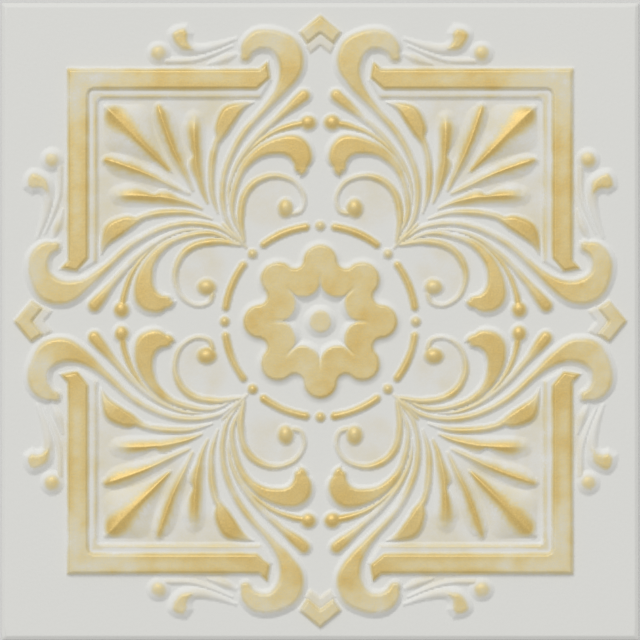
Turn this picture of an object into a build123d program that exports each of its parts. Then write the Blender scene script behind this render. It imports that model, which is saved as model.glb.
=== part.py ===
from build123d import *
import os
from math import atan, cos, degrees, hypot, radians, sin

os.makedirs("parts", exist_ok=True)

# A square ceiling tile, moulded in one piece from polystyrene foam.
# Millimetres. The origin is the middle of the flat back, +Z comes out of the face
# that the room sees, and +Y is one side of the square. The ornament is the same in
# all eight wedges of the square, so each motif is drawn once, in the wedge between
# the +Y axis and the diagonal towards +X. Heights of the relief are above the
# ground, which is the flat face round the ornament.

# Sheet
tile_side = 500.0
ground_level = 4.0
edge_bevel_width = 3.0
edge_bevel_depth = 2.0

# Rosette in the middle, with a star-shaped recess round a button
rosette_height = 5.0
rosette_slope = 4.5
lobe_centre_radius = 47.0
valley_centre_radius = 52.2
valley_foot_radius = 2.5
star_tip_radius = 32.5
star_bulge_radius = 22.2
star_floor_tip_radius = 21.5
star_floor_bulge_radius = 17.5
button_foot_radius = 13.0
button_top_radius = 8.0
button_height = 4.5

# Ring of beads and bars round the rosette
ring_radius = 75.0
ring_height = 3.4
bar_half_foot = 4.2
bar_half_crest = 1.4
bar_start_angle = 7.0
bar_end_angle = 38.0
bead_foot_radius = 4.6
bead_top_radius = 1.8

# Bracket round each corner of the tile: an L of two bars with a ledge inside it
bracket_outer = 200.0
bracket_inner = 180.5
bracket_end = 36.5
bracket_cut = 11.5
bracket_tip_rise = 9.2
bracket_tip_lean = 1.2
bracket_notch = 2.0
bracket_horn = 5.5
bracket_horn_lean = 3.3
bracket_slope = 2.6
bracket_height = 5.0
ledge_width = 6.0
ledge_setback = 2.0
ledge_slope = 2.4
ledge_height = 2.4

# Chevron at the middle of each side, with a ledge under it
chevron_peak = 241.5
chevron_half_width = 17.5
chevron_pitch = 0.83
chevron_end_lean = 0.42
chevron_band = 17.0
chevron_slope = 2.6
chevron_height = 4.6
chevron_ledge_half_width = 12.5
chevron_ledge_band = 8.5
chevron_ledge_slope = 1.6
chevron_ledge_height = 2.2

# Full heights of the scrolls and leaves
spear_height = 5.2
scroll_height = 5.0
stem_height = 3.2
moon_height = 4.6
leaf_height = 4.7
crown_height = 4.4
knob_height = 4.4

# Depth that each raised form reaches down into the sheet
root = 1.0

# Sides of each small knob, and sections for each station of a curved form
knob_sides = 12
curve_steps = 2

WEDGE_COUNT = 8
WEDGE_ANGLE = 360.0 / WEDGE_COUNT
QUARTERS = (0, 90, 180, 270)


def polar(radius, angle):
    """Point at a radius, at an angle clockwise from the +Y axis."""
    return (radius * sin(radians(angle)), radius * cos(radians(angle)))


def between(before, start, end, after, share):
    """Value on a smooth curve from start to end, with the values beyond them."""
    tangent = (end - before) / 2
    next_tangent = (after - start) / 2
    gap = end - start
    bend = 3 * gap - 2 * tangent - next_tangent
    twist = tangent + next_tangent - 2 * gap
    return start + tangent * share + bend * share**2 + twist * share**3


def smoothed(stations, steps):
    """Stations with further ones between them, on smooth curves."""
    last = len(stations) - 1
    result = []
    for index in range(last):
        rows = [stations[min(max(index + step, 0), last)] for step in (-1, 0, 1, 2)]
        for step in range(steps):
            share = step / steps
            result.append([between(*values, share) for values in zip(*rows)])
    return result + [list(stations[last])]


def flat_face(*corners):
    return Face(Wire.make_polygon(corners, close=True))


def faceted(sections):
    """Solid with flat facets between four-cornered sections."""
    faces = [flat_face(*sections[0]), flat_face(*sections[-1])]
    for section, next_section in zip(sections, sections[1:]):
        for corner in range(4):
            after = (corner + 1) % 4
            faces.append(flat_face(section[corner], section[after], next_section[corner]))
            faces.append(flat_face(section[after], next_section[after], next_section[corner]))
    return Solid(Shell(faces))


def leaf(full_height, stations, steps=1):
    """Raised form with sloping sides, skinned over sections along its path.

    A station is x, y, its share of the full height, and the places of the left
    foot, left shoulder, right shoulder and right foot, measured from the path.
    """
    path = smoothed(stations, steps)
    sections = []
    for index, (x, y, share, left_foot, left_top, right_top, right_foot) in enumerate(path):
        before = path[max(index - 1, 0)]
        after = path[min(index + 1, len(path) - 1)]
        run_x = after[0] - before[0]
        run_y = after[1] - before[1]
        side = Vector(-run_y, run_x).normalized()
        height = full_height * share
        left_root = left_foot + (left_foot - left_top) * root / height
        right_root = right_foot + (right_foot - right_top) * root / height
        low = Vector(x, y, ground_level - root)
        high = Vector(x, y, ground_level + height)
        sections.append([
            low + side * left_root,
            high + side * left_top,
            high - side * right_top,
            low - side * right_root,
        ])
    return faceted(sections)


def strand(full_height, stations, steps=curve_steps):
    """Even-sided strand: a station is x, y, share of height, half foot, half crest."""
    both_sides = [(x, y, share, foot, crest, crest, foot) for x, y, share, foot, crest in stations]
    return leaf(full_height, both_sides, steps)


def knob(x, y, foot_radius, top_radius, height):
    """Nearly round knob with sloping sides."""
    slope = foot_radius - top_radius
    return Pos(x, y) * table(
        lambda inset: RegularPolygon(foot_radius - inset, knob_sides), slope, height
    )


def table(outline, slope, height):
    """Flat-topped form: the outline, drawn counter-clockwise, is its foot."""
    low = Pos(0, 0, ground_level - root) * outline(-slope * root / height)
    return extrude(low, height + root, taper=degrees(atan(slope / height))).solid()


def rosette_outline(inset):
    """Eight round lobes joined by round valleys, drawn counter-clockwise."""
    edges = []
    for lobe in range(WEDGE_COUNT):
        angle = -lobe * WEDGE_ANGLE
        next_angle = angle - WEDGE_ANGLE
        centre = Vector(*polar(lobe_centre_radius, angle))
        next_centre = Vector(*polar(lobe_centre_radius, next_angle))
        valley_before = Vector(*polar(valley_centre_radius, angle + WEDGE_ANGLE / 2))
        valley_after = Vector(*polar(valley_centre_radius, next_angle + WEDGE_ANGLE / 2))
        reach = (valley_after - centre).length - valley_foot_radius - inset
        start = centre + (valley_before - centre).normalized() * reach
        tip = Vector(*polar(lobe_centre_radius + reach, angle))
        finish = centre + (valley_after - centre).normalized() * reach
        valley_radius = valley_foot_radius + inset
        bottom = Vector(*polar(valley_centre_radius - valley_radius, next_angle + WEDGE_ANGLE / 2))
        next_start = next_centre + (valley_after - next_centre).normalized() * reach
        edges.append(ThreePointArc(start, tip, finish))
        edges.append(ThreePointArc(finish, bottom, next_start))
    return make_face(edges)


def star_outline(tip_radius, bulge_radius):
    """Eight-pointed star whose sides bulge inwards."""
    edges = []
    for side in range(WEDGE_COUNT):
        tip = polar(tip_radius, side * WEDGE_ANGLE)
        bulge = polar(bulge_radius, (side + 0.5) * WEDGE_ANGLE)
        next_tip = polar(tip_radius, (side + 1) * WEDGE_ANGLE)
        edges.append(ThreePointArc(tip, bulge, next_tip))
    return make_face(edges)


def rosette():
    floor = Pos(0, 0, ground_level) * star_outline(star_floor_tip_radius, star_floor_bulge_radius)
    mouth_level = ground_level + rosette_height
    mouth = Pos(0, 0, mouth_level) * star_outline(star_tip_radius, star_bulge_radius)
    recess = loft([floor, mouth], ruled=True) + extrude(mouth, root)
    body = table(rosette_outline, rosette_slope, rosette_height) - recess
    return [body, knob(0, 0, button_foot_radius, button_top_radius, button_height)]


def ring_bar():
    """Bar with rounded ends that follows the ring between two beads."""
    stations = []
    reach = bar_end_angle - bar_start_angle
    for along, share in ((0, 0.4), (0.09, 0.9), (0.2, 1), (0.5, 1), (0.8, 1), (0.91, 0.9), (1, 0.4)):
        x, y = polar(ring_radius, bar_start_angle + reach * along)
        stations.append((x, y, share, bar_half_foot * share, bar_half_crest * share))
    return strand(ring_height, stations, steps=1)


def ring_bead(angle):
    x, y = polar(ring_radius, angle)
    return knob(x, y, bead_foot_radius, bead_top_radius, ring_height)


def both_arms(arm):
    """Face inside an outline that is the same on both sides of the diagonal."""
    corners = arm[::-1] + [(y, x) for x, y in arm[1:-1]]
    return Face(Wire.make_polygon(corners, close=True))


def bracket_outline(inset):
    outer = bracket_outer - inset
    inner = bracket_inner + inset
    end = bracket_end + inset
    return both_arms([
        (inner, inner),
        (end + bracket_cut, inner),
        (end, inner + bracket_tip_rise),
        (end + bracket_tip_lean, outer - bracket_notch),
        (end + bracket_horn_lean, outer + bracket_horn),
        (end + bracket_cut, outer),
        (outer, outer),
    ])


def ledge_outline(inset):
    inner = bracket_inner - ledge_width + inset
    end = bracket_end + inset
    under = bracket_inner + bracket_slope
    return both_arms([
        (inner, inner),
        (end + bracket_cut - ledge_setback, inner),
        (end, inner + bracket_tip_rise),
        (end + bracket_slope, under + bracket_tip_rise),
        (under, under),
    ])


def bracket():
    bar = table(bracket_outline, bracket_slope, bracket_height)
    return [bar, table(ledge_outline, ledge_slope, ledge_height)]


def chevron_outline(peak, half_width, band, inset):
    """Band that falls both ways from a peak, with ends cut square to its fall."""
    top = peak - inset * hypot(1, chevron_pitch)
    low = peak - band + inset * hypot(1, chevron_pitch)
    outer_x = half_width - inset
    inner_x = outer_x - chevron_end_lean * band
    half = [
        (0, top),
        (outer_x, top - outer_x * chevron_pitch),
        (inner_x, low - inner_x * chevron_pitch),
        (0, low),
    ]
    corners = half[::-1] + [(-x, y) for x, y in half[1:-1]]
    return Face(Wire.make_polygon(corners, close=True))


def chevron():
    ledge_peak = chevron_peak - chevron_band + chevron_slope
    ledge_band = chevron_ledge_band + chevron_slope
    upper = table(
        lambda inset: chevron_outline(chevron_peak, chevron_half_width, chevron_band, inset),
        chevron_slope,
        chevron_height,
    )
    lower = table(
        lambda inset: chevron_outline(ledge_peak, chevron_ledge_half_width, ledge_band, inset),
        chevron_ledge_slope,
        chevron_ledge_height,
    )
    return [upper, lower]


def on_diagonal(stations):
    """Stations given by their distance from the middle, set out on the diagonal."""
    return [(*polar(distance, 45), *rest) for distance, *rest in stations]


def spear():
    """Roof-shaped spear that points from the ornament to the corner."""
    stations = on_diagonal([
        (166.0, 0.25, 1.2, 0.4),
        (176.0, 0.62, 4.0, 0.5),
        (186.0, 0.84, 7.6, 0.5),
        (197.0, 0.96, 12.8, 0.5),
        (206.0, 1.00, 19.0, 0.5),
        (212.0, 1.00, 22.6, 0.5),
        (219.0, 1.00, 21.8, 0.5),
        (228.0, 0.98, 13.6, 0.5),
        (236.0, 0.90, 6.2, 0.5),
        (242.0, 0.40, 1.4, 0.4),
    ])
    return strand(spear_height, stations, steps=1)


def fan_root():
    """Short shaft on the diagonal that the stems of two wedges grow from."""
    return strand(stem_height, on_diagonal([
        (81.0, 0.3, 0.9, 0.5),
        (93.0, 0.8, 4.2, 0.5),
        (108.0, 0.4, 1.4, 0.5),
    ]), steps=1)


def curl():
    """C-scroll next to the ring, ending in a round eye."""
    stem = strand(stem_height, [
        (60.0, 63.0, 0.7, 2.0, 0.6),
        (62.5, 80.0, 1.0, 3.3, 1.2),
        (59.8, 97.5, 1.05, 3.6, 1.2),
        (51.0, 109.0, 1.05, 3.6, 1.2),
        (36.0, 114.2, 0.9, 3.0, 0.8),
        (20.6, 109.6, 0.8, 2.5, 0.6),
        (12.8, 98.0, 0.75, 2.4, 0.6),
        (14.6, 87.4, 0.75, 2.5, 0.6),
        (21.0, 84.6, 0.8, 2.8, 0.6),
    ])
    return [stem, knob(27.0, 89.0, 8.6, 5.0, knob_height)]


def hook():
    """Thick hook above the C-scroll, on a long thin stem."""
    return [leaf(scroll_height, [
        (62.0, 67.5, 0.36, 1.4, 0.4, 0.4, 1.4),
        (68.8, 84.0, 0.6, 2.7, 0.7, 0.7, 2.7),
        (67.6, 101.0, 0.64, 3.2, 0.9, 0.9, 3.2),
        (61.0, 119.0, 0.7, 4.0, 1.4, 1.4, 4.0),
        (48.4, 131.8, 0.85, 5.8, 2.6, 2.8, 6.2),
        (33.6, 136.4, 0.96, 7.4, 4.2, 6.4, 10.0),
        (22.6, 133.6, 1.0, 7.4, 4.2, 10.2, 14.2),
        (17.2, 127.4, 1.0, 6.8, 3.4, 9.8, 14.0),
        (15.6, 120.0, 0.95, 6.8, 3.0, 5.2, 9.0),
        (17.0, 115.0, 0.5, 3.4, 1.2, 1.2, 4.0),
    ], curve_steps)]


def bead_drop():
    """Thin stem that ends in a bead beside the axis."""
    stem = strand(stem_height, [
        (64.6, 119.0, 0.5, 1.2, 0.4),
        (54.6, 134.6, 0.75, 2.2, 0.5),
        (40.0, 146.4, 0.85, 2.8, 0.6),
        (25.0, 152.8, 0.9, 3.4, 0.9),
        (12.0, 155.6, 1.0, 3.8, 1.2),
    ], steps=1)
    return [stem, knob(9.2, 156.0, 8.4, 4.2, knob_height)]


def drop():
    """Stem that swells into a long drop between the big scroll and the bead."""
    return [strand(knob_height, [
        (72.2, 92.0, 0.3, 0.9, 0.3),
        (70.6, 109.0, 0.5, 1.9, 0.5),
        (62.6, 127.4, 0.64, 2.7, 0.7),
        (48.0, 146.0, 0.68, 3.3, 0.8),
        (31.6, 161.2, 0.78, 4.2, 1.2),
        (18.4, 172.2, 0.95, 6.8, 3.0),
        (11.0, 178.8, 0.95, 6.8, 3.2),
        (7.4, 182.0, 0.5, 3.0, 0.8),
    ])]


def big_scroll():
    """Large scroll that rises from the fan and curls over beside the chevron."""
    return [leaf(scroll_height, [
        (65.0, 67.5, 0.4, 1.4, 0.4, 0.4, 1.4),
        (73.4, 80.0, 0.58, 2.6, 0.7, 0.7, 2.6),
        (76.8, 101.0, 0.64, 3.2, 0.9, 0.9, 3.2),
        (73.0, 123.0, 0.64, 3.6, 1.0, 1.0, 3.6),
        (60.6, 147.0, 0.66, 4.0, 1.0, 1.0, 4.0),
        (41.0, 169.2, 0.74, 4.8, 1.4, 1.4, 4.8),
        (29.0, 184.6, 0.9, 8.4, 4.0, 3.6, 7.6),
        (24.4, 198.6, 1.0, 14.2, 9.2, 5.8, 10.4),
        (28.2, 209.6, 1.0, 17.4, 12.2, 5.4, 10.0),
        (37.2, 216.4, 1.0, 15.8, 10.6, 3.6, 7.6),
        (47.4, 217.0, 1.0, 15.2, 10.2, 3.0, 6.8),
        (54.8, 212.6, 0.95, 11.8, 7.4, 2.4, 6.0),
        (58.0, 206.8, 0.8, 7.0, 3.2, 2.0, 5.6),
        (58.6, 202.0, 0.45, 3.4, 1.2, 1.0, 3.4),
    ], curve_steps)]


def moon_leaf():
    """Leaf with a half-moon head that is straight on its lower left side."""
    return [leaf(moon_height, [
        (80.4, 85.0, 0.3, 1.0, 0.3, 0.3, 1.0),
        (85.2, 103.0, 0.6, 3.0, 0.8, 0.8, 2.8),
        (85.0, 124.0, 0.74, 4.2, 1.2, 1.2, 4.0),
        (80.6, 141.0, 0.84, 4.4, 1.6, 2.2, 4.8),
        (75.4, 152.6, 0.96, 3.4, 1.4, 5.8, 10.2),
        (69.0, 160.8, 1.0, 3.2, 1.2, 7.2, 11.4),
        (61.0, 167.8, 0.8, 2.4, 0.6, 2.6, 5.4),
        (52.0, 172.0, 0.25, 0.6, 0.2, 0.2, 0.6),
    ])]


def inner_leaf():
    """Leaf with a sharp midrib and a pinch in its right side, the middle one of the fan."""
    return [leaf(leaf_height, [
        (88.4, 93.0, 0.3, 1.4, 0.3, 0.3, 1.4),
        (92.4, 102.0, 0.56, 3.8, 0.4, 0.4, 2.4),
        (95.2, 112.0, 0.76, 6.8, 0.5, 0.5, 4.0),
        (96.9, 121.0, 0.88, 7.6, 0.5, 0.5, 8.0),
        (98.0, 130.6, 0.95, 8.4, 0.5, 0.5, 2.4),
        (98.6, 142.0, 1.0, 9.0, 0.5, 0.5, 7.8),
        (98.6, 152.0, 0.92, 9.0, 0.5, 0.5, 10.4),
        (98.4, 158.0, 0.7, 8.0, 0.4, 0.4, 10.0),
        (98.2, 164.0, 0.25, 4.6, 0.2, 0.2, 4.6),
    ])]


def outer_leaf():
    """Leaf with a sharp midrib beside the spear."""
    return [leaf(leaf_height, [
        (100.4, 103.0, 0.3, 2.2, 0.3, 0.3, 1.8),
        (107.6, 119.0, 0.76, 5.0, 0.5, 0.5, 4.2),
        (113.0, 130.0, 0.92, 6.6, 0.5, 0.5, 5.4),
        (118.4, 143.0, 1.0, 8.8, 0.5, 0.5, 6.4),
        (123.0, 156.0, 1.0, 10.2, 0.5, 0.5, 7.4),
        (126.0, 165.0, 0.9, 8.2, 0.5, 0.5, 6.6),
        (127.4, 170.8, 0.4, 4.2, 0.3, 0.3, 3.2),
    ])]


def crown():
    """Small crest outside the bracket: a hooked leaf, a bead on a stem and a bud."""
    tail = strand(crown_height, [
        (66.0, 222.0, 0.25, 1.4, 0.3),
        (80.0, 216.6, 0.5, 3.4, 0.7),
        (94.0, 213.4, 0.68, 4.8, 1.2),
        (106.0, 214.4, 0.76, 5.4, 1.6),
    ], steps=1)
    head = leaf(crown_height, [
        (102.6, 210.6, 0.4, 2.4, 0.6, 0.6, 2.4),
        (107.4, 215.4, 0.85, 6.4, 2.6, 3.0, 5.8),
        (111.0, 223.0, 1.0, 11.6, 6.0, 4.8, 9.0),
        (110.4, 228.8, 1.0, 12.6, 6.4, 5.0, 9.2),
        (109.4, 233.0, 0.4, 9.6, 6.0, 3.0, 6.4),
    ])
    stem = strand(crown_height, [
        (69.0, 216.2, 0.22, 1.2, 0.3),
        (84.6, 209.6, 0.42, 2.2, 0.5),
        (101.0, 204.7, 0.46, 2.4, 0.6),
        (121.0, 204.2, 0.54, 2.8, 0.9),
    ], steps=1)
    bud = strand(crown_height, [
        (66.4, 209.6, 0.25, 2.0, 0.4),
        (75.0, 205.8, 0.54, 3.8, 0.8),
        (88.0, 202.0, 0.22, 1.0, 0.3),
    ], steps=1)
    return [tail, head, stem, bud, knob(126.8, 210.4, 9.8, 4.6, crown_height)]


def wedge_ornament():
    """All the scrolls and leaves of one wedge, as one body."""
    motifs = curl() + hook() + bead_drop() + drop() + big_scroll()
    motifs += moon_leaf() + inner_leaf() + outer_leaf() + crown()
    return Part() + motifs


def fourfold(shapes):
    return [Rot(0, 0, angle) * shape for shape in shapes for angle in QUARTERS]


def eightfold(shapes):
    return fourfold(shapes + [mirror(shape, Plane.YZ) for shape in shapes])


def sheet():
    blank = Pos(0, 0, ground_level / 2) * Box(tile_side, tile_side, ground_level)
    rim = blank.faces().sort_by(Axis.Z)[-1].edges()
    return chamfer(rim, edge_bevel_depth, edge_bevel_width)


def ceiling_tile():
    relief = rosette()
    relief += [ring_bead(wedge * WEDGE_ANGLE) for wedge in range(WEDGE_COUNT)]
    relief += eightfold([ring_bar(), wedge_ornament()])
    relief += fourfold(bracket() + chevron() + [spear(), fan_root()])
    return sheet().fuse(*relief)


tile = ceiling_tile()
tile.label = "ceiling_tile"
export_step(tile, "parts/ceiling_tile.step")
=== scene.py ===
"""Looks of a moulded polystyrene ceiling tile: its relief, its gold paint and the light on it."""
from math import atan2, cos, hypot, radians, sin, sqrt

import bpy
import numpy as np
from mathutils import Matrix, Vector
from mathutils.geometry import delaunay_2d_cdt


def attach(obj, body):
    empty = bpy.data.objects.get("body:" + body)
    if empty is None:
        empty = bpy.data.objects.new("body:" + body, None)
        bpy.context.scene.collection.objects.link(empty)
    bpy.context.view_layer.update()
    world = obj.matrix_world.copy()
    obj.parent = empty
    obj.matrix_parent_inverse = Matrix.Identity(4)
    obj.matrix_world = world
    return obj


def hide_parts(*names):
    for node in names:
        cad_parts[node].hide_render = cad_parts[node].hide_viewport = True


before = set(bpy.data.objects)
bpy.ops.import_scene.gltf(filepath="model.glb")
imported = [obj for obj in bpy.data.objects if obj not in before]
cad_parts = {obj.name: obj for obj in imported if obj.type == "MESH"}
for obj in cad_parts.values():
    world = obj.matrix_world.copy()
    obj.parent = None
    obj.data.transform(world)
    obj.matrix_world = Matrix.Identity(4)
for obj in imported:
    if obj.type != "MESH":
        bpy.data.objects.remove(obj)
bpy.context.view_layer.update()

NODE = "ceiling_tile"
MM = 0.001

# Relief
# Millimetres. The ornament is the same in all eight wedges of the square, so it is
# drawn once, in the wedge between the +Y axis and the diagonal towards +X. Heights
# are above the ground, the flat face round the ornament.
HALF_SIDE = 250.0
GROUND = 4.0
BEVEL_WIDTH = 3.0
BEVEL_DEPTH = 2.0

# Grid of the height map, the spread of the bell curves that soften its edges and its
# paint, and how many spreads they reach
MAP_STEP = 0.25
MAP_MARGIN = 4.0
EDGE_SOFTNESS = 0.4
PAINT_SOFTNESS = 0.7
BELL_REACH = 3.0

# Steps along paths and outlines, and points round a knob
PATH_STEP = 1.4
OUTLINE_STEP = 1.5 * PATH_STEP
KNOB_POINTS = 25

# Degrees from the +Y axis to the diagonal and to the middle line of the wedge
DIAGONAL = 45.0
WEDGE_MIDDLE = DIAGONAL / 2

# Keeps a divisor above zero
TINY = 1e-9

# Columns of a station after its x and y
SHARE, LEFT_FOOT, LEFT_TOP, RIGHT_TOP, RIGHT_FOOT, STRENGTH = range(2, 8)


def polar(radius, angle):
    """Point at a radius, at an angle clockwise from the +Y axis."""
    return (radius * sin(radians(angle)), radius * cos(radians(angle)))


def smooth_path(stations):
    """Rows on smooth curves through the stations, about PATH_STEP apart."""
    rows = np.array(stations, float)
    padded = np.vstack([rows[:1], rows, rows[-1:]])
    result = []
    for before, start, end, after in zip(padded, padded[1:], padded[2:], padded[3:]):
        count = max(2, round(float(np.hypot(*(end - start)[:2])) / PATH_STEP))
        share = np.arange(count)[:, None] / count
        tangent, next_tangent = (end - before) / 2, (after - start) / 2
        gap = end - start
        bend = 3 * gap - 2 * tangent - next_tangent
        twist = tangent + next_tangent - 2 * gap
        result.append(start + tangent * share + bend * share**2 + twist * share**3)
    return np.vstack(result + [rows[-1:]])


def rounded(corners):
    """Closed smooth outline through its corners."""
    rows = np.array(corners, float)
    wrapped = np.vstack([rows[-1:], rows, rows[:2]])
    return smooth_path(wrapped)[:-1]


def ramp(low, high, value):
    """0 below low, 1 above high, and a smooth rise between them."""
    share = np.clip((value - low) / (high - low), 0, 1)
    return share * share * (3 - 2 * share)


def from_segment(x, y, start, end):
    """How far along a straight line each place lies, from 0 to 1, and how far away from it."""
    run = end - start
    along = ((x - start[0]) * run[0] + (y - start[1]) * run[1]) / (run @ run)
    along = np.clip(along, 0, 1)
    return along, np.hypot(x - start[0] - along * run[0], y - start[1] - along * run[1])


class ReliefMap:
    """Heights and gold of one quarter of the tile, on a fine square grid."""

    def __init__(self):
        self.axis = np.arange(-MAP_MARGIN, HALF_SIDE + MAP_MARGIN + MAP_STEP / 2, MAP_STEP)
        size = len(self.axis)
        self.height = np.zeros((size, size))
        self.gold = np.zeros((size, size))
        self.lines = []

    def window(self, low, high):
        """Slices of rows and columns that cover a box, and the grid's x and y there."""
        first = [max(0, int((low[i] + MAP_MARGIN) / MAP_STEP)) for i in (0, 1)]
        last = [int((high[i] + MAP_MARGIN) / MAP_STEP) + 2 for i in (0, 1)]
        columns, rows = slice(first[0], last[0]), slice(first[1], last[1])
        return rows, columns, self.axis[columns][None, :], self.axis[rows][:, None]

    def raise_to(self, rows, columns, height, gold):
        """Keep the higher of what is there and a new form."""
        there = self.height[rows, columns]
        higher = height > there
        self.height[rows, columns] = np.where(higher, height, there)
        self.gold[rows, columns] = np.where(higher, gold, self.gold[rows, columns])

    def leaf(self, full_height, stations, paint=(0.25, 0.75), bulge=0.4):
        """Form with sloping sides along a path.

        A station is x, y, its share of the full height, the places of the left foot,
        left shoulder, right shoulder and right foot measured from the path, and the
        strength of the gold. paint is where on the slope the gold starts and is full.
        """
        path = smooth_path(stations)
        runs = np.gradient(path[:, :2], axis=0)
        runs /= np.hypot(*runs.T)[:, None]
        own = np.zeros_like(self.height)
        last = len(path) - 1
        for index in range(-1, last + 1):
            start, end = path[max(index, 0)], path[min(index + 1, last)]
            reach = max(start[LEFT_FOOT], start[RIGHT_FOOT], end[LEFT_FOOT], end[RIGHT_FOOT])
            rows, columns, x, y = self.window(
                np.minimum(start[:2], end[:2]) - reach, np.maximum(start[:2], end[:2]) + reach
            )
            run, next_run = runs[max(index, 0)], runs[min(index + 1, last)]
            since = (x - start[0]) * run[0] + (y - start[1]) * run[1]
            until = (end[0] - x) * next_run[0] + (end[1] - y) * next_run[1]
            if index < 0:
                within, along = since < 0, np.zeros_like(since)
            elif index == last:
                within, along = until < 0, np.zeros_like(since)
            else:
                within = (since >= 0) & (until >= 0) & (since + until > 0)
                along = np.where(within, since / np.where(within, since + until, 1), 0)
            off_x = x - start[0] - along * (end[0] - start[0])
            off_y = y - start[1] - along * (end[1] - start[1])
            share, left_foot, left_top, right_top, right_foot, strength = (
                start[column] + along * (end[column] - start[column])
                for column in (SHARE, LEFT_FOOT, LEFT_TOP, RIGHT_TOP, RIGHT_FOOT, STRENGTH)
            )
            on_left = run[0] * off_y - run[1] * off_x > 0
            foot = np.where(on_left, left_foot, right_foot)
            top = np.where(on_left, left_top, right_top)
            slope = np.clip((foot - np.hypot(off_x, off_y)) / (foot - top), 0, 1)
            rise = slope + bulge * slope * (1 - slope)
            height = np.where(within, full_height * np.minimum(share, 1) * rise, 0)
            self.raise_to(rows, columns, height, np.minimum(strength * ramp(*paint, slope), 1))
            own[rows, columns] = np.maximum(own[rows, columns], height)
        self.trace(path, runs, own)

    def trace(self, path, runs, own):
        """Note the lines of a swept form: its feet, its shoulders and its crest."""
        side = np.stack([-runs[:, 1], runs[:, 0]], 1)
        for column, sign in ((LEFT_TOP, 1), (RIGHT_TOP, -1), (LEFT_FOOT, 1), (RIGHT_FOOT, -1)):
            self.note(path[:, :2] + sign * side * path[:, column, None], own)
        between = path[:, LEFT_TOP, None] - path[:, RIGHT_TOP, None]
        self.note(path[:, :2] + side * between / 2, own)

    def note(self, line, own):
        """Keep a line that the mesh follows, and the height of its own form along it."""
        self.lines.append((line, self.at(own, line)))

    def strand(self, full_height, stations, paint=(0.2, 0.7), bulge=0.5):
        """Even-sided form: a station is x, y, share, half foot, half crest, gold."""
        even = [(x, y, share, foot, crest, crest, foot, gold)
                for x, y, share, foot, crest, gold in stations]
        self.leaf(full_height, even, paint, bulge)

    def stroke(self, stations, gold):
        """Brush stroke on what is there: a station is x, y and its full and outer half width."""
        path = smooth_path(stations)
        for start, end in zip(path, path[1:]):
            reach = max(start[-1], end[-1])
            rows, columns, x, y = self.window(
                np.minimum(start[:2], end[:2]) - reach, np.maximum(start[:2], end[:2]) + reach
            )
            along, away = from_segment(x, y, start[:2], end[:2])
            full, outer = (here + along * (there - here) for here, there in zip(start[2:], end[2:]))
            paint = gold * (1 - ramp(full, outer, away))
            self.gold[rows, columns] = np.maximum(self.gold[rows, columns], paint)

    def knob(self, x, y, foot, top, height, gold, paint=(0.3, 0.8), bulge=0.5):
        """Round or oval knob: foot and top are its half widths in x and in y."""
        centre, half = np.array([x, y]), np.array(foot)
        rows, columns, grid_x, grid_y = self.window(centre - half, centre + half)
        off_x, off_y = grid_x - x, grid_y - y
        outer = np.hypot(off_x / foot[0], off_y / foot[1])
        inner = np.hypot(off_x / top[0], off_y / top[1])
        share = (1 - outer) / np.maximum(1 - outer / np.maximum(inner, TINY), TINY)
        share = np.where(inner < 1, 1, np.clip(share, 0, 1))
        form = height * (share + bulge * share * (1 - share))
        self.raise_to(rows, columns, form, gold * ramp(*paint, share))
        own = np.zeros_like(self.height)
        own[rows, columns] = form
        turn = np.linspace(0, 2 * np.pi, KNOB_POINTS)
        for wide, high in (top, foot):
            self.note(np.stack([x + wide * np.cos(turn), y + high * np.sin(turn)], 1), own)

    def table(self, outline, slope, height, gold, paint=(0.1, 0.4), bulge=0.15):
        """Flat-topped form inside a straight-sided outline, which is its foot."""
        corners = np.array(outline, float)
        rows, columns, x, y = self.window(corners.min(0), corners.max(0))
        inside = np.zeros(np.broadcast(x, y).shape, bool)
        nearest = np.full(inside.shape, np.inf)
        for start, end in zip(corners, np.roll(corners, -1, axis=0)):
            nearest = np.minimum(nearest, from_segment(x, y, start, end)[1])
            run = end - start
            crosses = (start[1] > y) != (end[1] > y)
            with np.errstate(divide="ignore", invalid="ignore"):
                inside ^= crosses & (x < start[0] + (y - start[1]) * run[0] / run[1])
        share = np.where(inside, np.clip(nearest / slope, 0, 1), 0)
        form = height * (share + bulge * share * (1 - share))
        self.raise_to(rows, columns, form, gold * ramp(*paint, share))
        own = np.zeros_like(self.height)
        own[rows, columns] = form
        closed = np.vstack([corners, corners[:1]])
        self.note(divided(closed, OUTLINE_STEP), own)
        self.note(divided(inset_outline(corners, slope), OUTLINE_STEP), own)

    def finish(self):
        """Mirror the wedge into its quarter, soften every edge and fit smooth gradients."""
        swap = self.height.T > self.height
        self.gold = np.where(swap, self.gold.T, self.gold)
        self.height = np.maximum(self.height, self.height.T)
        border = round(MAP_MARGIN / MAP_STEP)
        for field in (self.height, self.gold):
            field[:, :border] = field[:, 2 * border : border : -1]
            field[:border, :] = field[2 * border : border : -1, :]
        self.sharp = self.height
        self.height = softened(self.height, EDGE_SOFTNESS)
        self.gold = softened(self.gold, PAINT_SOFTNESS)
        outward = np.maximum(self.axis[None, :], self.axis[:, None]) - (HALF_SIDE - BEVEL_WIDTH)
        fall = softened(np.maximum(outward, 0), EDGE_SOFTNESS) * BEVEL_DEPTH / BEVEL_WIDTH
        self.level = GROUND + self.height - fall
        self.slope_y, self.slope_x = np.gradient(self.level, MAP_STEP)
        rise_y, rise_x = np.gradient(self.height, MAP_STEP)
        # Steepness of the relief alone, without the bevel; the material uses it to paint light onto
        # steep slopes
        self.steep = 1 - 1 / np.sqrt(1 + rise_x**2 + rise_y**2)

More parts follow.
